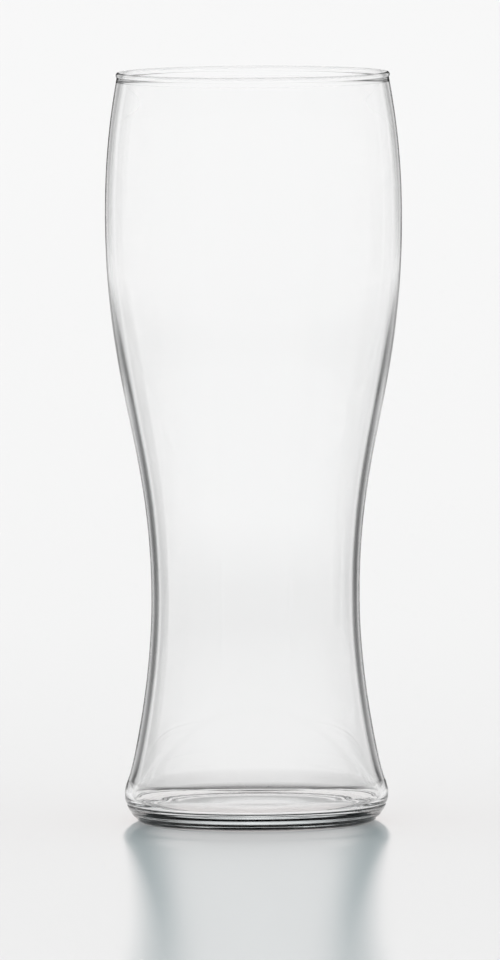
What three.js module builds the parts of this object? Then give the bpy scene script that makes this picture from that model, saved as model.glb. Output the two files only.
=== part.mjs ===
// Tall beer glass of clear blown glass: a heavy rounded foot, a flared skirt up to the waist,
// a bowl that swells above it, a lip drawn in towards the mouth, and a fire-polished bead.
// The zones are rings that sit on each other face to face.
// Millimetres, +Z up. The origin is the centre of the ring that the glass stands on.
import * as THREE from "three";

// Heights above the table
const glassHeight = 200;
const lipHeight = 184; // above this the thin wall thickens towards the rim
const bowlHeight = 162; // the bowl is widest here
const thinHeight = 150; // the wall is down to its thinnest here
const shoulderHeight = 112; // the wall is thickest here
const waistHeight = 59.6; // the wall is narrowest here
const flareHeight = 11.2; // the flare under the waist turns into the heel here
const heelHeight = 7.6; // the heel is widest here
const floorHeight = 4.3; // top of the floor under the drink
const seamRise = 0.5; // of the seam between wall and foot, over the floor
const puntDepth = 2.6; // of the hollow under the foot, at its middle

// Diameters over the outside
const rimDiameter = 73; // over the bead
const bowlDiameter = 79.1;
const waistDiameter = 55.5;
const flareDiameter = 68.6;
const heelDiameter = 70.26;
const standDiameter = 62; // outer edge of the standing ring
const standWidth = 2; // of the flat standing ring

// Thickness of the glass
const rimWall = 1.1;
const bowlWall = 0.85;
const shoulderWall = 2.1;
const waistWall = 1.8;
const heelWall = 1.8;
const beadSwell = 0.25; // how far the bead stands proud of the wall, inside and outside

// Rounding inside, where the wall meets the floor
const cornerRise = 3.2;
const cornerReach = 2.6;
const seamBevel = 0.25; // of both edges along the seam

// Lean of the outline where it isn't upright, in mm across for each mm of height
const rimLean = 0.168;
const flareLean = 0.37;
const standLean = 1.7;

// Lengths of the curve handles that set how full each stretch of the outline is
const rimHandle = 6;
const bowlHandleUp = 18.5;
const bowlHandleDown = 47.6;
const waistHandleUp = 42.2;
const waistHandleDown = 21;
const flareHandle = 5;
const turnHandle = 1.3;
const heelHandleUp = 1.2;
const heelHandleDown = 3.6;
const standHandle = 1.3;
const puntHandle = 24;

// Facets
const roundSteps = 60; // flats round the glass
const longSteps = 10; // along the wall between waist and bowl
const midSteps = 6; // along the flare, and from the bowl to the rim
const shortSteps = 3; // along the heel, the foot's edge and the inside corner
const beadSteps = 8; // round the bead

const point = (radius, height) => new THREE.Vector2(radius, height);
const curve = (...corners) => new THREE.CubicBezierCurve(...corners);

// The bead is a round cord of glass that sits on the top of the wall
const beadRadius = rimWall / 2 + beadSwell;
const beadMiddle = point(rimDiameter / 2 - beadRadius, glassHeight - beadRadius);
const seatDrop = Math.sqrt(beadRadius ** 2 - (rimWall / 2) ** 2);
const seatHeight = beadMiddle.y - seatDrop;
const seamHeight = floorHeight + seamRise;

// Named places on the outline
const rimPlace = point(beadMiddle.x + rimWall / 2, seatHeight);
const bowlPlace = point(bowlDiameter / 2, bowlHeight);
const waistPlace = point(waistDiameter / 2, waistHeight);
const flarePlace = point(flareDiameter / 2, flareHeight);
const heelPlace = point(heelDiameter / 2, heelHeight);
const standPlace = point(standDiameter / 2, 0);

// A place moved up by a length, and outwards by its lean
function along(place, up, lean = 0) {
  return point(place.x + lean * up, place.y + up);
}

// Curves of the outline, from the table up
const edgeCurve = curve(
  standPlace,
  along(standPlace, standHandle, standLean),
  along(heelPlace, -heelHandleDown),
  heelPlace,
);
const heelCurve = curve(
  heelPlace,
  along(heelPlace, heelHandleUp),
  along(flarePlace, -turnHandle, -flareLean),
  flarePlace,
);
const flareCurve = curve(
  flarePlace,
  along(flarePlace, flareHandle, -flareLean),
  along(waistPlace, -waistHandleDown),
  waistPlace,
);
const waistCurve = curve(
  waistPlace,
  along(waistPlace, waistHandleUp),
  along(bowlPlace, -bowlHandleDown),
  bowlPlace,
);
const bowlCurve = curve(
  bowlPlace,
  along(bowlPlace, bowlHandleUp),
  along(rimPlace, -rimHandle, -rimLean),
  rimPlace,
);

// Where a rising curve reaches a height, as its parameter
function reach(rising, height) {
  let low = 0;
  let high = 1;
  while (high - low > 1e-9) {
    const middle = (low + high) / 2;
    if (rising.getPoint(middle).y < height) low = middle;
    else high = middle;
  }
  return (low + high) / 2;
}

// Points of a curve between two parameters, both ends included
function stretch(source, from, to, steps) {
  const points = [];
  for (let step = 0; step <= steps; step += 1) {
    points.push(source.getPoint(from + ((to - from) * step) / steps));
  }
  return points;
}

// Thickness of the wall, eased from one named height to the next
const cornerTop = floorHeight + cornerRise;
const thicknessAt = [
  [cornerTop, heelWall],
  [waistHeight, waistWall],
  [shoulderHeight, shoulderWall],
  [thinHeight, bowlWall],
  [lipHeight, bowlWall],
  [seatHeight, rimWall],
];
function wallThickness(height) {
  let thickness = heelWall;
  for (let i = 1; i < thicknessAt.length; i += 1) {
    const [lowHeight] = thicknessAt[i - 1];
    const [highHeight, high] = thicknessAt[i];
    const eased = THREE.MathUtils.smoothstep(height, lowHeight, highHeight);
    thickness = THREE.MathUtils.lerp(thickness, high, eased);
  }
  return thickness;
}

// The inside of the wall at a place on its outside
const inside = (place) => point(place.x - wallThickness(place.y), place.y);

// The rounded corner inside, a quarter of an ellipse from the floor up to the wall
const cornerPlace = inside(heelCurve.getPoint(reach(heelCurve, cornerTop)));
const cornerCurve = new THREE.EllipseCurve(
  cornerPlace.x - cornerReach,
  cornerTop,
  cornerReach,
  cornerRise,
  -Math.PI / 2,
  0,
);

// Where the seam cuts the outline and the inside corner
const seamReach = reach(edgeCurve, seamHeight);
const cornerSeam = reach(cornerCurve, seamHeight);

// A solid of revolution from an outline that runs anticlockwise, turned upright
function turned(name, outline, material) {
  const geometry = new THREE.LatheGeometry(outline, roundSteps);
  geometry.rotateX(Math.PI / 2);
  const mesh = new THREE.Mesh(geometry, material);
  mesh.name = name;
  return mesh;
}

function clearGlass(color) {
  return new THREE.MeshStandardMaterial({
    color,
    roughness: 0.03,
    metalness: 0,
    transparent: true,
    opacity: 0.3,
  });
}

// The foot: a thick disc with a rounded edge, a punt below and a dished floor above
function makeFoot() {
  const puntTop = point(0, puntDepth);
  const puntEdge = point(standPlace.x - standWidth, 0);
  const punt = curve(puntTop, point(puntHandle, puntDepth), puntEdge, puntEdge);
  const edge = stretch(edgeCurve, 0, seamReach, shortSteps);
  const seamEdge = edge.pop();
  return turned(
    "foot",
    [
      ...stretch(punt, 0, 1, shortSteps),
      ...edge,
      point(seamEdge.x, seamEdge.y - seamBevel),
      point(seamEdge.x - seamBevel, seamEdge.y),
      ...stretch(cornerCurve, cornerSeam, 0, shortSteps),
      point(0, floorHeight),
    ],
    clearGlass(0xeef3f4),
  );
}

// A ring of the wall: its outside from the bottom up, then its inside back down
function wallRing(name, outer, inner, color) {
  const outline = [...outer, ...inner];
  return turned(name, [...outline, outline[0].clone()], clearGlass(color));
}

// The skirt: from the seam over the round heel and up the flare to the waist
function makeSkirt() {
  const [seamEdge, ...edge] = stretch(edgeCurve, seamReach, 1, shortSteps);
  const heel = stretch(heelCurve, 0, 1, shortSteps).slice(1);
  const flare = stretch(flareCurve, 0, 1, midSteps).slice(1);
  const lined = [...heel, ...flare].filter((place) => place.y > cornerTop);
  const outer = [
    point(seamEdge.x - seamBevel, seamEdge.y),
    point(seamEdge.x, seamEdge.y + seamBevel),
    ...edge,
    ...heel,
    ...flare,
  ];
  const inner = [
    ...lined.map(inside).reverse(),
    ...stretch(cornerCurve, 1, cornerSeam, shortSteps),
  ];
  return wallRing("skirt", outer, inner, 0xf6f9fa);
}

// The bowl: from the waist up the swelling wall to its widest place
function makeBowl() {
  const outer = stretch(waistCurve, 0, 1, longSteps);
  return wallRing("bowl", outer, outer.map(inside).reverse(), 0xf8fafb);
}

// The lip: from the widest place, drawn in to the seat of the bead
function makeLip() {
  const outer = stretch(bowlCurve, 0, 1, midSteps);
  return wallRing("lip", outer, outer.map(inside).reverse(), 0xfafcfc);
}

// The rim: a bead, flat below where it sits on the wall
function makeRim() {
  const seatAngle = Math.asin(seatDrop / beadRadius);
  const bead = new THREE.EllipseCurve(
    beadMiddle.x,
    beadMiddle.y,
    beadRadius,
    beadRadius,
    -seatAngle,
    Math.PI + seatAngle,
  );
  const outline = stretch(bead, 0, 1, beadSteps);
  return turned("rim_bead", [...outline, outline[0].clone()], clearGlass(0xf2f6f7));
}

const beerGlass = new THREE.Group();
beerGlass.name = "beer_glass";
beerGlass.add(makeFoot(), makeSkirt(), makeBowl(), makeLip(), makeRim());

export default beerGlass;
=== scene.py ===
import math

import bpy
from mathutils import Matrix, Vector


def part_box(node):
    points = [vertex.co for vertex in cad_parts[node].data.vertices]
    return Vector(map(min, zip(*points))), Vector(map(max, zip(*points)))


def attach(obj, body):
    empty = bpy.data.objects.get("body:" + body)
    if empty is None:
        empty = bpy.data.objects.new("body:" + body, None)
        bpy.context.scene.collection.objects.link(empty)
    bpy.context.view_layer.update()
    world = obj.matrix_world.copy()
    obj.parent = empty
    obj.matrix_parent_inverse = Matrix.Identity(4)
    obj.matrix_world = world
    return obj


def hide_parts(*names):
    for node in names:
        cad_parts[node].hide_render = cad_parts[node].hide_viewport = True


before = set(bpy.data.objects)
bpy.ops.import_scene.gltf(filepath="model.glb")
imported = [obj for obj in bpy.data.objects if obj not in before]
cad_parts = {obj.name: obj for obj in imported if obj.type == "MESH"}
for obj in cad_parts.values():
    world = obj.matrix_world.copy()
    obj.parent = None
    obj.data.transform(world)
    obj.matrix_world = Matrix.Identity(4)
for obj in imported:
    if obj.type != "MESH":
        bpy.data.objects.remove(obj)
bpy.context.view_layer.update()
print("frame loaded with", ", ".join(sorted(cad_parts)))

mm = 0.001
scene = bpy.context.scene
scene.view_settings.view_transform = "Standard"


# camera, set so that the foot and the rim fall where the photograph has them

cameraSetup = {  # metres
    "distance": 4.375,  # from the axis of the glass
    "height": 0.4,  # above the table
    "aim": (-0.0013, 0.0, 0.0911),  # what the middle of the picture looks at
    "lens": 617.0,  # in the same unit as the sensor
    "sensor": 36.0,
    "clipEnd": 60.0,
    "roll": -0.31,  # degrees
}


def makeCamera(setup):
    data = bpy.data.cameras.new("camera")
    data.lens = setup["lens"]
    data.sensor_width = setup["sensor"]
    data.clip_end = setup["clipEnd"]
    camera = bpy.data.objects.new("camera", data)
    scene.collection.objects.link(camera)
    place = Vector((0.0, -setup["distance"], setup["height"]))
    look = (Vector(setup["aim"]) - place).to_track_quat("-Z", "Y").to_matrix().to_4x4()
    roll = Matrix.Rotation(math.radians(setup["roll"]), 4, "Z")
    camera.matrix_world = Matrix.Translation(place) @ look @ roll
    scene.camera = camera


makeCamera(cameraSetup)
print("camera placed")


# node helpers

def addNode(tree, kind, **settings):
    node = tree.nodes.new(kind)
    for name, value in settings.items():
        setattr(node, name, value)
    return node


def setInputs(node, **values):
    for name, value in values.items():
        node.inputs[name].default_value = value
    return node


def newMaterial(name):
    material = bpy.data.materials.new(name)
    material.use_nodes = True
    material.node_tree.nodes.clear()
    return material, material.node_tree


def mathNode(tree, operation, first, second=0.0):
    node = addNode(tree, "ShaderNodeMath", operation=operation)
    for place, value in enumerate((first, second)):
        if isinstance(value, (int, float)):
            node.inputs[place].default_value = value
        else:
            tree.links.new(value, node.inputs[place])
    return node.outputs[0]


def mapRange(tree, source, low, high, lowValue, highValue):
    node = addNode(tree, "ShaderNodeMapRange", interpolation_type="SMOOTHSTEP")
    setInputs(node, **{"From Min": low, "From Max": high, "To Min": lowValue, "To Max": highValue})
    tree.links.new(source, node.inputs["Value"])
    return node.outputs["Result"]


def greyRamp(tree, greys):
    ramp = addNode(tree, "ShaderNodeValToRGB")
    stops = ramp.color_ramp.elements
    while len(stops) < len(greys):
        stops.new(0.5)
    for stop, (place, grey) in zip(stops, greys):
        stop.position = place
        stop.color = (grey, grey, grey, 1.0)
    return ramp


def splitVector(tree, source):
    split = addNode(tree, "ShaderNodeSeparateXYZ")
    tree.links.new(source, split.inputs[0])
    return split.outputs


def mixShaders(tree, share, first, second):
    mix = addNode(tree, "ShaderNodeMixShader")
    tree.links.new(share, mix.inputs[0])
    tree.links.new(first.outputs[0], mix.inputs[1])
    tree.links.new(second.outputs[0], mix.inputs[2])
    return mix


def setSurface(tree, shader, kind="ShaderNodeOutputMaterial"):
    output = addNode(tree, kind)
    tree.links.new(shader.outputs[0], output.inputs["Surface"])
    return output


oneBounce = 0.5  # a ray's count of bounces is over this from the first on
twoBounces = 1.5  # and over this from the second on


# light paths, with enough bounces for both walls of the glass

lightPaths = {
    "bounces": 16,
    "mirrorBounces": 5,
    "clamp": 2.0,  # holds down bright specks
}
scene.cycles.max_bounces = lightPaths["bounces"]
scene.cycles.transmission_bounces = lightPaths["bounces"]
scene.cycles.glossy_bounces = lightPaths["mirrorBounces"]
scene.cycles.caustics_reflective = False
scene.cycles.sample_clamp_indirect = lightPaths["clamp"]


# surround: pale low down, with a dark ceiling, and an even light for matt surfaces

surround = {  # heights are sines of the elevation
    "horizonGrey": 0.945,  # low down all round
    "farFloorGrey": 0.928,  # under the horizon, past the edge of the floor
    "horizonBlur": 0.01,
    "ceilingGrey": 0.05,
    "ceilingFrom": 0.25,  # where the dark ceiling starts behind the glass
    "ceilingTo": 0.4,
    "frontShift": 0.27,  # how much higher it starts in front
    "frontBlur": 0.2,
    "stripShift": 0.4,  # and in the bright strip straight behind and in front
    "stripFrom": 0.25,  # sine of the angle off that strip
    "stripTo": 0.45,
    "skyLight": (0.358, 0.439, 0.457, 1.0),  # what lights matt surfaces
}


def makeWorld(setup):
    world = bpy.data.worlds.new("studio")
    scene.world = world
    world.use_nodes = True
    tree = world.node_tree
    tree.nodes.clear()
    link = tree.links.new
    path = addNode(tree, "ShaderNodeLightPath").outputs
    coordinate = addNode(tree, "ShaderNodeTexCoord")
    way = splitVector(tree, coordinate.outputs["Generated"])
    low = mapRange(tree, way["Z"], -setup["horizonBlur"], 0.0, setup["farFloorGrey"], setup["horizonGrey"])
    ahead = mapRange(tree, way["Y"], -setup["frontBlur"], setup["frontBlur"], setup["frontShift"], 0.0)
    overOne = 1.0001  # keeps the root clear of zero straight up
    level = mathNode(tree, "SUBTRACT", overOne, mathNode(tree, "MULTIPLY", way["Z"], way["Z"]))
    level = mathNode(tree, "SQRT", level)
    sideways = mathNode(tree, "DIVIDE", mathNode(tree, "ABSOLUTE", way["X"]), level)
    strip = mapRange(tree, sideways, setup["stripFrom"], setup["stripTo"], setup["stripShift"], 0.0)
    height = mathNode(tree, "SUBTRACT", way["Z"], mathNode(tree, "MAXIMUM", ahead, strip))
    high = mapRange(tree, height, setup["ceilingFrom"], setup["ceilingTo"], 1.0, setup["ceilingGrey"])
    seen = addNode(tree, "ShaderNodeBackground")
    link(mathNode(tree, "MULTIPLY", low, high), seen.inputs["Color"])
    light = setInputs(addNode(tree, "ShaderNodeBackground"), Color=setup["skyLight"])
    either = mathNode(tree, "ADD", path["Is Camera Ray"], path["Is Glossy Ray"])
    anySeen = mathNode(tree, "ADD", either, path["Is Transmission Ray"])
    notLight = mathNode(tree, "LESS_THAN", path["Diffuse Depth"], oneBounce)
    share = mathNode(tree, "MULTIPLY", mathNode(tree, "MINIMUM", anySeen, 1.0), notLight)
    setSurface(tree, mixShaders(tree, share, light, seen), "ShaderNodeOutputWorld")


makeWorld(surround)
print("surround made")


# one face of the stage, with a UV map that runs across it and up

def stageMesh(name, corners, material):
    mesh = bpy.data.meshes.new(name)
    mesh.from_pydata(corners, [], [(0, 1, 2, 3)])
    mesh.materials.append(material)
    across = mesh.uv_layers.new(name="across")
    for loop, place in zip(across.data, ((0, 0), (1, 0), (1, 1), (0, 1))):
        loop.uv = place
    piece = bpy.data.objects.new(name, mesh)
    scene.collection.objects.link(piece)
    return piece


# pale floor with a soft mirror

floorSetup = {  # metres
    "side": 40.0,
    "drop": 0.05 * mm,  # keeps it clear of the ring that the glass stands on
    "color": (0.93, 0.93, 0.93, 1.0),
    "roughness": 0.2,
    "mirrorLow": 0.03,  # share of mirror seen from above
    "mirrorHigh": 0.26,  # and at a glancing angle
    "mirrorFrom": 0.5,  # how far from facing the share starts to rise
    "shadeCentre": (0.0, -0.3, 0.0),  # painted shade: the floor is a little darker round here
    "shadeReach": 4.0,
    "shades": ((0.0, 0.895), (0.08, 0.9), (0.16, 0.925), (0.24, 0.945), (0.4, 0.96), (1.0, 0.98)),
    "mirroredGrey": 0.9,  # painted light: the floor glows this even grey as the inside of the glass mirrors it, in place of its own light and shade
}


def makeFloor(setup):
    material, tree = newMaterial("paleFloor")
    link = tree.links.new
    coordinate = addNode(tree, "ShaderNodeTexCoord")
    away = addNode(tree, "ShaderNodeVectorMath", operation="DISTANCE")
    link(coordinate.outputs["Object"], away.inputs[0])
    away.inputs[1].default_value = setup["shadeCentre"]
    # painted shade, darker round shadeCentre, carried into both the matt colour and the mirror
    shade = greyRamp(tree, setup["shades"])
    link(mathNode(tree, "DIVIDE", away.outputs["Value"], setup["shadeReach"]), shade.inputs[0])
    tone = addNode(tree, "ShaderNodeMix", data_type="RGBA", blend_type="MULTIPLY")
    tone.inputs["Factor"].default_value = 1.0
    link(shade.outputs["Color"], tone.inputs["A"])
    tone.inputs["B"].default_value = setup["color"]
    matt = addNode(tree, "ShaderNodeBsdfDiffuse")
    link(tone.outputs["Result"], matt.inputs["Color"])
    gloss = setInputs(addNode(tree, "ShaderNodeBsdfGlossy"), Roughness=setup["roughness"])
    link(shade.outputs["Color"], gloss.inputs["Color"])
    facing = addNode(tree, "ShaderNodeLayerWeight").outputs["Facing"]
    mirror = mapRange(tree, facing, setup["mirrorFrom"], 1.0, setup["mirrorLow"], setup["mirrorHigh"])
    top = mixShaders(tree, mirror, matt, gloss)
    # painted light: an even glow for rays mirrored once inside the glass, in place of the floor's shade
    grey = setup["mirroredGrey"]
    pale = setInputs(addNode(tree, "ShaderNodeEmission"), Color=(grey, grey, grey, 1.0))
    path = addNode(tree, "ShaderNodeLightPath").outputs
    turned = mathNode(tree, "GREATER_THAN", path["Glossy Depth"], oneBounce)
    few = mathNode(tree, "LESS_THAN", path["Glossy Depth"], twoBounces)
    once = mathNode(tree, "MULTIPLY", turned, few)
    mirrored = mathNode(tree, "MULTIPLY", once, path["Is Transmission Ray"])
    setSurface(tree, mixShaders(tree, mirrored, top, pale))
    half = setup["side"] / 2
    corners = [(-half, -half), (half, -half), (half, half), (-half, half)]
    stageMesh("floor", [(x, y, -setup["drop"]) for x, y in corners], material)


makeFloor(floorSetup)
print("floor laid")


# grey cards hidden from the camera, which darken the edges of the glass

edgeShades = (  # share of the height, and the grey there
    (0.0, 0.45), (0.02, 0.45), (0.04, 0.3), (0.055, 0.16), (0.065, 0.1), (0.075, 0.12), (0.09, 0.35),
    (0.12, 0.55), (0.16, 0.85), (0.195, 0.85), (0.24, 0.6), (0.3, 0.45), (1.0, 0.45),
)
cardSetup = {  # metres
    "height": 0.6,
    "softNear": 0.045,  # the soft cards carry on over the floor to this close behind the axis
    "softLift": 0.5 * mm,  # above the table
}
cards = {  # upright pairs, left and right of straight behind
    "softCard": {  # wide and pale
        "finish": "softCard",
        "distance": 0.32,  # from the axis
        "turn": 0,  # degrees round the glass
        "inner": 0.015,  # from the middle of the opening between the two
        "outer": 0.16,
        "fade": 1.0,  # share of the width over which the inner edge comes in
        "fadeOut": 0.05,  # and the outer edge goes out
        "shownTo": "sharp",
        "greys": ((0.0, 0.5), (0.1, 0.6), (0.2, 0.8), (1.0, 0.8)),
    },
    "card": {  # for the outline
        "finish": "greyCard",
        "distance": 0.3,
        "turn": 0,
        "inner": 0.125,
        "outer": 0.3,
        "fade": 0.1,
        "fadeOut": 0.4,
        "shownTo": "sharp",
        "greys": edgeShades,
    },
    "sideCard": {  # the same on the left, for views from the right
        "finish": "sideCard",
        "distance": 0.3,
        "turn": 90,
        "inner": 0.125,
        "outer": 0.3,
        "fade": 0.1,
        "fadeOut": 0.4,
        "shownTo": "through",
        "greys": edgeShades,
    },
    "mirrorCard": {  # narrow, for the glass's own gloss
        "finish": "mirrorCard",
        "distance": 0.3,
        "turn": 0,
        "inner": 0.035,
        "outer": 0.145,
        "fade": 0.1,
        "fadeOut": 0.15,
        "shownTo": "mirrored",
        "greys": (
            (0.0, 0.03), (0.09, 0.03), (0.13, 0.5), (0.19, 0.8),
            (0.23, 0.15), (0.28, 0.02), (1.0, 0.02),
        ),
    },
    "edgeCard": {  # for light that is turned back inside the wall
        "finish": "edgeCard",
        "distance": 0.3,
        "turn": 0,
        "inner": 0.015,
        "outer": 0.085,
        "fade": 0.15,
        "fadeOut": 0.3,
        "shownTo": "inside",
        "greys": ((0.0, 0.9), (0.18, 0.9), (0.24, 0.3), (0.3, 0.05), (1.0, 0.05)),
    },
}
strips = {  # filters that lie behind the foot and shade the floor seen through the glass
    "floorShade": {
        "reach": (0.04, 0.17),  # from the axis
        "half": 0.06,  # of the width
        "lift": 1.0 * mm,
        "fade": 0.3,
        "fadeOut": 0.3,
        "shownTo": "sharp",
        "greys": (
            (0.0, 0.1), (0.1, 0.25), (0.2, 0.38), (0.27, 0.6),
            (0.41, 0.77), (0.58, 0.86), (0.9, 1.0), (1.0, 1.0),
        ),
    },
    "farShade": {
        "reach": (0.2, 1.4),
        "half": 0.14,
        "lift": 1.5 * mm,
        "fade": 0.3,
        "fadeOut": 0.3,
        "shownTo": "sharp",
        "greys": (
            (0.0, 1.0), (0.12, 0.99), (0.25, 0.965), (0.37, 0.93),
            (0.5, 0.935), (0.62, 0.96), (0.85, 1.0), (1.0, 1.0),
        ),
    },
}
bothSides = (("L", -1), ("R", 1))


def rayGate(tree, shownTo):
    path = addNode(tree, "ShaderNodeLightPath").outputs
    if shownTo == "through":
        return path["Is Transmission Ray"]
    if shownTo == "inside":
        turned = mathNode(tree, "GREATER_THAN", path["Glossy Depth"], oneBounce)
        return mathNode(tree, "MULTIPLY", turned, path["Is Transmission Ray"])
    if shownTo == "mirrored":
        return mathNode(tree, "GREATER_THAN", path["Is Singular Ray"], path["Is Transmission Ray"])
    blurred = mathNode(tree, "GREATER_THAN", path["Is Glossy Ray"], path["Is Singular Ray"])
    return mathNode(tree, "SUBTRACT", 1.0, blurred)  # the floor's soft mirror leaves the card out


def cardMaterial(name, card, slant=None, front="ShaderNodeEmission"):
    material, tree = newMaterial(name)
    link = tree.links.new
    coordinate = addNode(tree, "ShaderNodeTexCoord").outputs
    onCard = splitVector(tree, coordinate["UV"])
    across = onCard["X"]
    if slant:  # placed by the angle off straight behind, so that a card can carry on over the floor
        start, end = slant
        place = splitVector(tree, coordinate["Object"])
        lean = mathNode(tree, "DIVIDE", mathNode(tree, "ABSOLUTE", place["X"]), place["Y"])
        across = mathNode(tree, "DIVIDE", mathNode(tree, "SUBTRACT", lean, start), end - start)
    ramp = greyRamp(tree, card["greys"])
    link(onCard["Y"], ramp.inputs[0])
    shader = addNode(tree, front)
    link(ramp.outputs["Color"], shader.inputs["Color"])
    clear = addNode(tree, "ShaderNodeBsdfTransparent")
    comesIn = mapRange(tree, across, 0.0, card["fade"], 0.0, 1.0)
    goesOut = mapRange(tree, across, 1.0 - card["fadeOut"], 1.0, 1.0, 0.0)
    shown = mathNode(tree, "MULTIPLY", comesIn, goesOut)
    gated = mathNode(tree, "MULTIPLY", shown, rayGate(tree, card["shownTo"]))
    setSurface(tree, mixShaders(tree, gated, clear, shader))
    return material


def hiddenCard(name, corners, material):
    card = stageMesh(name, corners, material)
    card.visible_camera = False
    card.visible_diffuse = False
    card.visible_shadow = False


def slantOf(card):
    return card["inner"] / card["distance"], card["outer"] / card["distance"]


def makeCard(name, card, height):
    slant = slantOf(card) if name == "softCard" else None
    material = cardMaterial(card["finish"], card, slant)
    spin = Matrix.Rotation(math.radians(card["turn"]), 3, "Z")
    inner, outer, behind = card["inner"], card["outer"], card["distance"]
    for mark, side in bothSides:
        corners = []
        for reach, rise in ((inner, 0.0), (outer, 0.0), (outer, height), (inner, height)):
            corners.append(spin @ Vector((side * reach, behind, rise)))
        hiddenCard(f"{name}{mark}{card['turn']}", corners, material)


def makeSoftFloor(setup, soft):
    lowGrey = soft["greys"][0][1]  # of the soft cards where they meet the floor
    even = dict(soft, greys=((0.0, lowGrey), (1.0, lowGrey)))
    slant = slantOf(soft)
    material = cardMaterial("softFloor", even, slant)
    inner, outer = slant
    near, far = setup["softNear"], soft["distance"]
    for mark, side in bothSides:
        corners = []
        for lean, behind in ((inner, near), (outer, near), (outer, far), (inner, far)):
            corners.append(Vector((side * lean * behind, behind, setup["softLift"])))
        hiddenCard(f"softFloor{mark}", corners, material)


def makeStrip(name, strip):
    material = cardMaterial(name, strip, front="ShaderNodeBsdfTransparent")
    near, far = strip["reach"]
    half = strip["half"]
    corners = [(-half, near), (half, near), (half, far), (-half, far)]
    hiddenCard(name, [(x, y, strip["lift"]) for x, y in corners], material)


for name, card in cards.items():
    makeCard(name, card, cardSetup["height"])
makeSoftFloor(cardSetup, cards["softCard"])
for name, strip in strips.items():
    makeStrip(name, strip)
print("cards and strips set up")


# low sun behind the glass, for its long shadow

backLamp = {
    "strength": 12.5,
    "color": (1.0, 0.883, 0.857),
    "rise": 10.0,  # degrees
    "size": 2.0,  # degrees
}


def makeLamp(setup):
    data = bpy.data.lights.new("backLight", "SUN")
    data.energy = setup["strength"]
    data.color = setup["color"]
    data.angle = math.radians(setup["size"])
    lamp = bpy.data.objects.new("backLight", data)
    scene.collection.objects.link(lamp)
    rise = math.radians(setup["rise"])
    shine = Vector((0.0, -math.cos(rise), -math.sin(rise)))
    lamp.rotation_euler = shine.to_track_quat("-Z", "Y").to_euler()
    lamp.visible_glossy = False
    lamp.visible_transmission = False


makeLamp(backLamp)
print("lamp set")


# clear glass

glassFinish = {
    "tint": (1.0, 1.0, 1.0, 1.0),
    "ior": 1.5,
    "sheenTint": (0.12, 0.12, 0.12, 1.0),  # of reflections seen face on
    "scuff": 0.3,  # roughness of the worn ring that the glass stands on
    "scuffFrom": 0.15 * mm,  # worn below this height
    "scuffTo": 0.6 * mm,  # and polished above this one
    "waveScale": 45.0,  # faint waves left by blowing, for each metre
    "waveDetail": 1.0,
    "waveHeight": 0.03 * mm,
    "absorbColor": (0.5, 0.58, 0.6, 1.0),
    "absorbDensity": 6.0,  # for each metre of glass
    "shadowClear": 0.92,  # light let through each surface into the shadow, face on
    "shadowEdge": 0.5,  # and edge on
    "shadowFrom": 0.2,
    "shadowTo": 0.65,
    "levelFrom": 0.85,  # level faces let all of it through
    "levelTo": 0.97,
}


def clearGlass(finish):
    material, tree = newMaterial("clearGlass")
    link = tree.links.new
    shader = addNode(tree, "ShaderNodeBsdfPrincipled")
    setInputs(shader, IOR=finish["ior"])
    shader.inputs["Specular Tint"].default_value = finish["sheenTint"]
    shader.inputs["Transmission Weight"].default_value = 1.0
    shader.inputs["Base Color"].default_value = finish["tint"]
    place = addNode(tree, "ShaderNodeTexCoord").outputs["Object"]
    rise = splitVector(tree, place)["Z"]
    worn = mapRange(tree, rise, finish["scuffFrom"], finish["scuffTo"], finish["scuff"], 0.0)
    link(worn, shader.inputs["Roughness"])
    waves = addNode(tree, "ShaderNodeTexNoise")
    setInputs(waves, Scale=finish["waveScale"], Detail=finish["waveDetail"])
    link(place, waves.inputs["Vector"])
    bump = setInputs(addNode(tree, "ShaderNodeBump"), Distance=finish["waveHeight"])
    link(waves.outputs[0], bump.inputs["Height"])
    link(bump.outputs[0], shader.inputs["Normal"])
    facing = addNode(tree, "ShaderNodeLayerWeight").outputs["Facing"]
    dim = mapRange(tree, facing, finish["shadowFrom"], finish["shadowTo"],
                   finish["shadowClear"], finish["shadowEdge"])
    normal = splitVector(tree, addNode(tree, "ShaderNodeNewGeometry").outputs["Normal"])
    upward = mathNode(tree, "ABSOLUTE", normal["Z"])
    level = mapRange(tree, upward, finish["levelFrom"], finish["levelTo"], 0.0, 1.0)
    let = addNode(tree, "ShaderNodeBsdfTransparent")
    link(mathNode(tree, "MAXIMUM", dim, level), let.inputs["Color"])
    shadow = addNode(tree, "ShaderNodeLightPath").outputs["Is Shadow Ray"]
    output = setSurface(tree, mixShaders(tree, shadow, shader, let))
    inner = addNode(tree, "ShaderNodeVolumeAbsorption")
    setInputs(inner, Color=finish["absorbColor"], Density=finish["absorbDensity"])
    link(inner.outputs[0], output.inputs["Volume"])
    return material


# the glass: one outline turned round the axis

rimLow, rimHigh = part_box("rim_bead")
bowlLow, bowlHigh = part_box("bowl")
glassShape = {  # metres
    "height": rimHigh.z,
    "rimRadius": rimHigh.x,
    "seatHeight": rimLow.z,  # where the bead sits on the wall
    "bowlRadius": bowlHigh.x,
    "bowlHeight": bowlHigh.z,
    "waistHeight": bowlLow.z,
    "waistRadius": 27.75 * mm,
    "flareRadius": 34.3 * mm,
    "flareHeight": 11.2 * mm,
    "heelRadius": 35.13 * mm,
    "heelHeight": 7.6 * mm,
    "grooves": (  # height, depth and half width of each, round the foot
        (4.75 * mm, 0.3 * mm, 0.5 * mm),
        (2.6 * mm, 0.15 * mm, 0.9 * mm),
        (1.2 * mm, 0.15 * mm, 0.6 * mm),
    ),
    "standRadius": 31.0 * mm,
    "standWidth": 2.0 * mm,
    "puntDepth": 2.6 * mm,
    "floorHeight": 4.3 * mm,
    "cornerRise": 3.2 * mm,
    "cornerReach": 2.6 * mm,
    "cornerClear": 0.1 * mm,  # from the corner to the first point of the wall's inside
    "beadRadius": 0.8 * mm,
    "roundSteps": 344,
}
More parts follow.
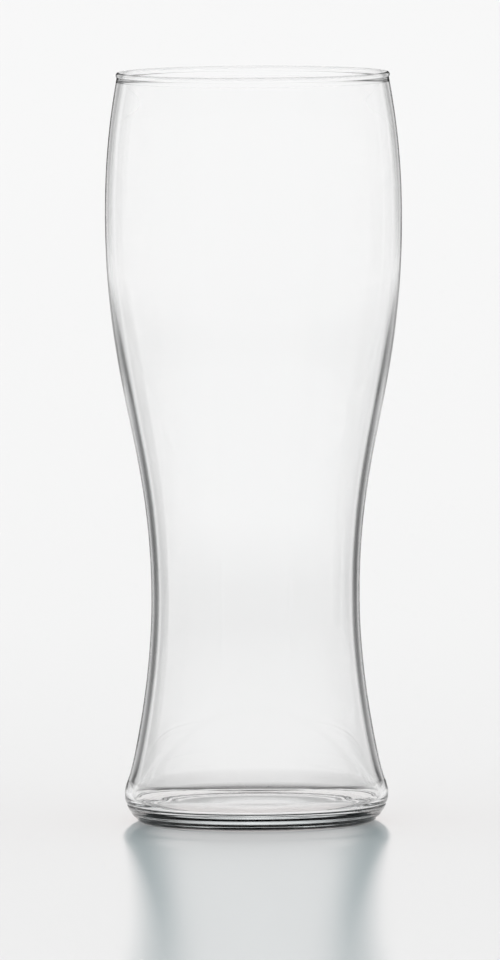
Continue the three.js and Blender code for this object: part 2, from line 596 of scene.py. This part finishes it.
outlineHandles = {  # of the curves, across and up from their own place
    "puntOut": (24.0 * mm, 0.0),
    "puntIn": (-0.4 * mm, 3.0 * mm),
    "standUp": (2.21 * mm, 1.3 * mm),
    "heelDown": (0.0, -3.6 * mm),
    "heelUp": (0.0, 1.2 * mm),
    "flareDown": (0.48 * mm, -1.3 * mm),
    "flareUp": (-1.85 * mm, 5.0 * mm),
    "waistDown": (0.0, -21.0 * mm),
    "waistUp": (0.0, 42.2 * mm),
    "bowlDown": (0.0, -47.6 * mm),
    "bowlUp": (0.0, 18.5 * mm),
    "rimDown": (1.0 * mm, -6.0 * mm),
}
outlineSteps = {
    "punt": 24,
    "edge": 72,
    "turn": 8,
    "skirt": 18,
    "swell": 26,
    "lip": 14,
    "bead": 18,
    "corner": 14,
    "floor": 16,
}
wallStations = [  # height and thickness of the wall
    (7.9 * mm, 1.8 * mm),
    (59.6 * mm, 1.8 * mm),
    (112.0 * mm, 2.1 * mm),
    (150.0 * mm, 0.85 * mm),
    (184.0 * mm, 0.85 * mm),
    (198.6 * mm, 1.1 * mm),
]
weldGap = 0.001 * mm


def bezier(start, startHandle, endHandle, end, steps):
    corners = [Vector(p) for p in (start, startHandle, endHandle, end)]
    points = []
    for step in range(steps + 1):
        t = step / steps
        weights = ((1 - t) ** 3, 3 * t * (1 - t) ** 2, 3 * t * t * (1 - t), t**3)
        points.append(sum((w * c for w, c in zip(weights, corners)), Vector((0, 0))))
    return points


def arc(centre, radii, startAngle, endAngle, steps):
    points = []
    for step in range(steps + 1):
        angle = math.radians(startAngle + (endAngle - startAngle) * step / steps)
        x = centre[0] + radii[0] * math.cos(angle)
        z = centre[1] + radii[1] * math.sin(angle)
        points.append(Vector((x, z)))
    return points


def eased(value, low, high):
    t = min(max((value - low) / (high - low), 0.0), 1.0)
    return t * t * (3 - 2 * t)


def wallThickness(height):
    thickness = wallStations[0][1]
    for (low, _), (high, target) in zip(wallStations, wallStations[1:]):
        thickness += (target - thickness) * eased(height, low, high)
    return thickness


# a curve between two places, with the handle that belongs to each
def stretch(name, start, startHandle, end, endHandle):
    handles = []
    for place, handle in ((start, startHandle), (end, endHandle)):
        across, up = outlineHandles[handle]
        handles.append((place[0] + across, place[1] + up))
    return bezier(start, handles[0], handles[1], end, outlineSteps[name])


def cutGrooves(points, grooves):
    for p in points:
        for height, depth, reach in grooves:
            off = abs(p.y - height) / reach
            if off < 1.0:
                p.x -= depth * (0.5 + 0.5 * math.cos(math.pi * off))


def glassOutline(s):
    beadX = s["rimRadius"] - s["beadRadius"]
    beadZ = s["height"] - s["beadRadius"]
    seatZ = s["seatHeight"]
    wallTop = (beadX + wallThickness(seatZ) / 2, seatZ)
    bowl = (s["bowlRadius"], s["bowlHeight"])
    waist = (s["waistRadius"], s["waistHeight"])
    flare = (s["flareRadius"], s["flareHeight"])
    heel = (s["heelRadius"], s["heelHeight"])
    stand = (s["standRadius"], 0.0)
    puntEdge = (s["standRadius"] - s["standWidth"], 0.0)
    punt = stretch("punt", (0.0, s["puntDepth"]), "puntOut", puntEdge, "puntIn")
    edge = stretch("edge", stand, "standUp", heel, "heelDown")
    turn = stretch("turn", heel, "heelUp", flare, "flareDown")
    skirt = stretch("skirt", flare, "flareUp", waist, "waistDown")
    swell = stretch("swell", waist, "waistUp", bowl, "bowlDown")
    lip = stretch("lip", bowl, "bowlUp", wallTop, "rimDown")
    cutGrooves(edge, s["grooves"])
    outer = edge + turn[1:] + skirt[1:] + swell[1:] + lip[1:]
    seatAngle = math.degrees(math.asin((beadZ - seatZ) / s["beadRadius"]))
    bead = arc((beadX, beadZ), (s["beadRadius"],) * 2, -seatAngle, 180 + seatAngle, outlineSteps["bead"])
    cornerTop = s["floorHeight"] + s["cornerRise"]
    lined = [p for p in outer if p.y > cornerTop + s["cornerClear"]]
    inner = [Vector((p.x - wallThickness(p.y), p.y)) for p in lined]
    cornerX = heel[0] - wallThickness(cornerTop) - s["cornerReach"]
    cornerRadii = (s["cornerReach"], s["cornerRise"])
    corner = arc((cornerX, cornerTop), cornerRadii, 0, -90, outlineSteps["corner"])
    floorSteps = outlineSteps["floor"]
    floor = []
    for step in range(1, floorSteps + 1):
        floor.append(Vector((cornerX * (1 - step / floorSteps), s["floorHeight"])))
    return punt + outer + bead[1:-1] + inner[::-1] + corner + floor


# a grid whose rows follow the outline and whose columns go round the axis
def turnTree():
    tree = bpy.data.node_groups.new("turnedGlass", "GeometryNodeTree")
    face = tree.interface
    face.new_socket("Outline", in_out="INPUT", socket_type="NodeSocketGeometry")
    rounds = face.new_socket("Round Steps", in_out="INPUT", socket_type="NodeSocketInt")
    finish = face.new_socket("Finish", in_out="INPUT", socket_type="NodeSocketMaterial")
    face.new_socket("Glass", in_out="OUTPUT", socket_type="NodeSocketGeometry")
    link = tree.links.new
    source = addNode(tree, "NodeGroupInput").outputs
    size = addNode(tree, "GeometryNodeAttributeDomainSize", component="MESH")
    link(source["Outline"], size.inputs[0])
    count = size.outputs["Point Count"]
    grid = addNode(tree, "GeometryNodeMeshGrid")
    setInputs(grid, **{"Size X": 1.0, "Size Y": 1.0})
    link(mathNode(tree, "ADD", source["Round Steps"], 1), grid.inputs["Vertices X"])
    link(count, grid.inputs["Vertices Y"])
    place = addNode(tree, "GeometryNodeInputPosition").outputs[0]
    spread = splitVector(tree, place)
    fromStart = mathNode(tree, "ADD", spread["Y"], 0.5)
    along = mathNode(tree, "MULTIPLY", fromStart, mathNode(tree, "SUBTRACT", count, 1))
    sample = addNode(tree, "GeometryNodeSampleIndex", data_type="FLOAT_VECTOR", domain="POINT")
    link(source["Outline"], sample.inputs["Geometry"])
    link(place, sample.inputs["Value"])
    link(mathNode(tree, "ROUND", along), sample.inputs["Index"])  # which outline point
    rotate = addNode(tree, "ShaderNodeVectorRotate", rotation_type="Z_AXIS")
    link(sample.outputs["Value"], rotate.inputs["Vector"])
    link(mathNode(tree, "MULTIPLY", spread["X"], 2 * math.pi), rotate.inputs["Angle"])  # how far round
    move = addNode(tree, "GeometryNodeSetPosition")
    link(grid.outputs["Mesh"], move.inputs["Geometry"])
    link(rotate.outputs["Vector"], move.inputs["Position"])
    weld = setInputs(addNode(tree, "GeometryNodeMergeByDistance"), Distance=weldGap)
    link(move.outputs[0], weld.inputs["Geometry"])
    smooth = addNode(tree, "GeometryNodeSetShadeSmooth")
    link(weld.outputs[0], smooth.inputs["Geometry"])
    real = addNode(tree, "GeometryNodeRealizeInstances")
    link(smooth.outputs[0], real.inputs[0])
    paint = addNode(tree, "GeometryNodeSetMaterial")
    link(real.outputs[0], paint.inputs["Geometry"])
    link(source["Finish"], paint.inputs["Material"])
    sink = addNode(tree, "NodeGroupOutput")
    link(paint.outputs[0], sink.inputs["Glass"])
    return tree, {"rounds": rounds.identifier, "finish": finish.identifier}


def makeGlass(shape, finish):
    outline = glassOutline(shape)
    mesh = bpy.data.meshes.new("glassOutline")
    mesh.from_pydata([(p.x, 0.0, p.y) for p in outline], [], [])
    glass = bpy.data.objects.new("glass", mesh)
    scene.collection.objects.link(glass)
    tree, sockets = turnTree()
    modifier = glass.modifiers.new("turned", "NODES")
    modifier.node_group = tree
    modifier[sockets["rounds"]] = shape["roundSteps"]
    modifier[sockets["finish"]] = finish
    depsgraph = bpy.context.evaluated_depsgraph_get()
    turned = bpy.data.meshes.new_from_object(glass.evaluated_get(depsgraph))
    glass.modifiers.clear()
    glass.data = turned
    turned.name = "glass"
    bpy.data.meshes.remove(mesh)
    print("glass turned,", len(outline), "points,", len(turned.polygons), "faces")
    return glass


glass = makeGlass(glassShape, clearGlass(glassFinish))
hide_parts("foot", "skirt", "bowl", "lip", "rim_bead")
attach(glass, "root")
print("glass finished")
